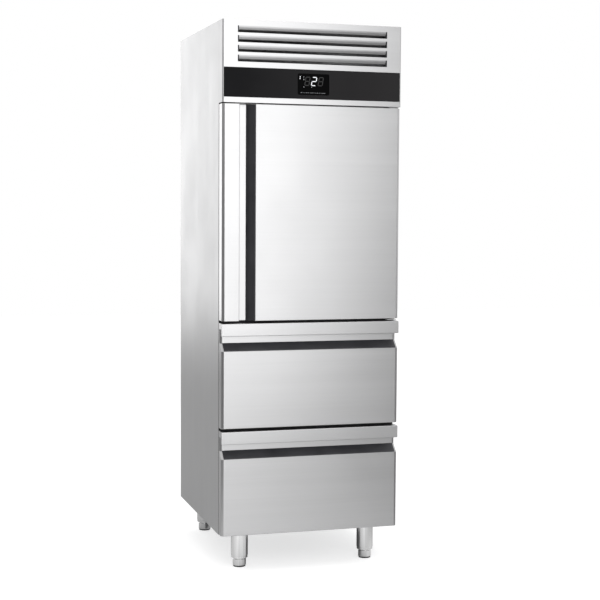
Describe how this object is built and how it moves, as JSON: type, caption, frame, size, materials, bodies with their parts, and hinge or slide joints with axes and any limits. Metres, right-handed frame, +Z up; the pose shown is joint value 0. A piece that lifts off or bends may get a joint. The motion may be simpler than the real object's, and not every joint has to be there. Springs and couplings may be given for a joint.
{
  "type": "commercial freezer cabinet",
  "caption": "Upright stainless cabinet with a hinged door above two drawers, a louvred top panel with dark control glass, inner wire shelves and adjustable round legs.",
  "frame": {"origin": "on the floor under the middle of the cabinet's outline", "axes": "+X to the viewer's right, +Y from the front to the back, +Z up"},
  "size_m": [0.7, 0.81, 2.08],
  "materials": {
    "cabinet_steel": "satin brushed",
    "front_steel": "satin brushed",
    "liner_steel": "satin",
    "leg_steel": "polished turned",
    "galvanised_steel": "zinc coated",
    "rail_zinc": "zinc plated",
    "shelf_wire": "grey coated",
    "foam": "rigid closed-cell foam",
    "gasket_rubber": "matt grey",
    "grip_plastic": "satin black",
    "display_plastic": "gloss black",
    "grey_plastic": "matt grey",
    "nylon": "natural",
    "black_glass": "gloss",
    "black_paint": "satin black",
    "fan_plastic": "matt black",
    "fin_aluminium": "mill",
    "copper": "drawn copper"
  },
  "bodies": {
    "cabinet": {"side_panel_left": "cabinet_steel", "side_panel_right": "cabinet_steel", "back_panel": "cabinet_steel", "base_panel": "galvanised_steel", "roof_deck": "galvanised_steel", "cabinet_insulation": "foam", "inner_liner": "liner_steel", "front_frame": "liner_steel", "mullions": "liner_steel", "leg_sleeves": "leg_steel", "hinge_bracket_upper": "leg_steel", "hinge_bracket_lower": "leg_steel", "drawer_fixed_rails": "rail_zinc", "shelf_uprights_left": "liner_steel", "shelf_uprights_right": "liner_steel", "fascia_panel": "front_steel", "control_glass": "black_glass", "display_module": "display_plastic", "control_box": "grey_plastic", "terminal_box": "grey_plastic", "unit_tray": "galvanised_steel", "compressor": "black_paint", "condenser_coil": "fin_aluminium", "condenser_shroud": "galvanised_steel", "refrigerant_pipes": "copper", "evaporator_cover": "liner_steel", "evaporator_coil": "fin_aluminium", "evaporator_fan_motor": "black_paint", "shelf_runners_1": "liner_steel", "wire_shelf_1": "shelf_wire", "shelf_runners_2": "liner_steel", "wire_shelf_2": "shelf_wire", "shelf_runners_3": "liner_steel", "wire_shelf_3": "shelf_wire"},
    "door": {"door_skin": "front_steel", "door_core": "foam", "door_liner": "liner_steel", "door_gasket": "gasket_rubber", "door_grip": "grip_plastic", "door_bushes": "nylon"},
    "upper_drawer": {"upper_drawer_skin": "front_steel", "upper_drawer_core": "foam", "upper_drawer_gasket": "gasket_rubber", "upper_drawer_grip": "grip_plastic", "upper_drawer_box": "liner_steel", "upper_drawer_rails": "rail_zinc"},
    "lower_drawer": {"lower_drawer_skin": "front_steel", "lower_drawer_core": "foam", "lower_drawer_gasket": "gasket_rubber", "lower_drawer_grip": "grip_plastic", "lower_drawer_box": "liner_steel", "lower_drawer_rails": "rail_zinc"},
    "upper_middle_rails": {"upper_drawer_middle_rails": "rail_zinc"},
    "lower_middle_rails": {"lower_drawer_middle_rails": "rail_zinc"},
    "foot_front_left": {"foot_front_left": "leg_steel"},
    "foot_front_right": {"foot_front_right": "leg_steel"},
    "foot_rear_left": {"foot_rear_left": "leg_steel"},
    "foot_rear_right": {"foot_rear_right": "leg_steel"},
    "condenser_fan": {"condenser_fan_blade": "fan_plastic"},
    "evaporator_fan": {"evaporator_fan_blade": "fan_plastic"}
  },
  "joints": [
    {"name": "door_hinge", "type": "hinge", "parent": "cabinet", "child": "door", "pos_m": [0.332, -0.371, 1.365], "axis": [0, 0, 1], "range_deg": [0, 105]},
    {"name": "upper_drawer_slide", "type": "slide", "parent": "cabinet", "child": "upper_drawer", "axis": [0, -1, 0], "range_m": [0, 0.48]},
    {"name": "lower_drawer_slide", "type": "slide", "parent": "cabinet", "child": "lower_drawer", "axis": [0, -1, 0], "range_m": [0, 0.48]},
    {"name": "upper_middle_slide", "type": "slide", "parent": "cabinet", "child": "upper_middle_rails", "axis": [0, -1, 0], "range_m": [0, 0.24]},
    {"name": "lower_middle_slide", "type": "slide", "parent": "cabinet", "child": "lower_middle_rails", "axis": [0, -1, 0], "range_m": [0, 0.24]},
    {"name": "foot_front_left_screw", "type": "slide", "parent": "cabinet", "child": "foot_front_left", "axis": [0, 0, -1], "range_m": [0, 0.04]},
    {"name": "foot_front_right_screw", "type": "slide", "parent": "cabinet", "child": "foot_front_right", "axis": [0, 0, -1], "range_m": [0, 0.04]},
    {"name": "foot_rear_left_screw", "type": "slide", "parent": "cabinet", "child": "foot_rear_left", "axis": [0, 0, -1], "range_m": [0, 0.04]},
    {"name": "foot_rear_right_screw", "type": "slide", "parent": "cabinet", "child": "foot_rear_right", "axis": [0, 0, -1], "range_m": [0, 0.04]},
    {"name": "condenser_fan_spin", "type": "hinge", "parent": "cabinet", "child": "condenser_fan", "pos_m": [-0.1, -0.239, 1.9107], "axis": [0, 1, 0], "continuous": true},
    {"name": "evaporator_fan_spin", "type": "hinge", "parent": "cabinet", "child": "evaporator_fan", "pos_m": [0, -0.003, 1.64], "axis": [0, 0, 1], "continuous": true}
  ],
  "couplings": [
    {"joint": "upper_middle_slide", "follows": "upper_drawer_slide", "ratio": 0.5},
    {"joint": "lower_middle_slide", "follows": "lower_drawer_slide", "ratio": 0.5}
  ]
}
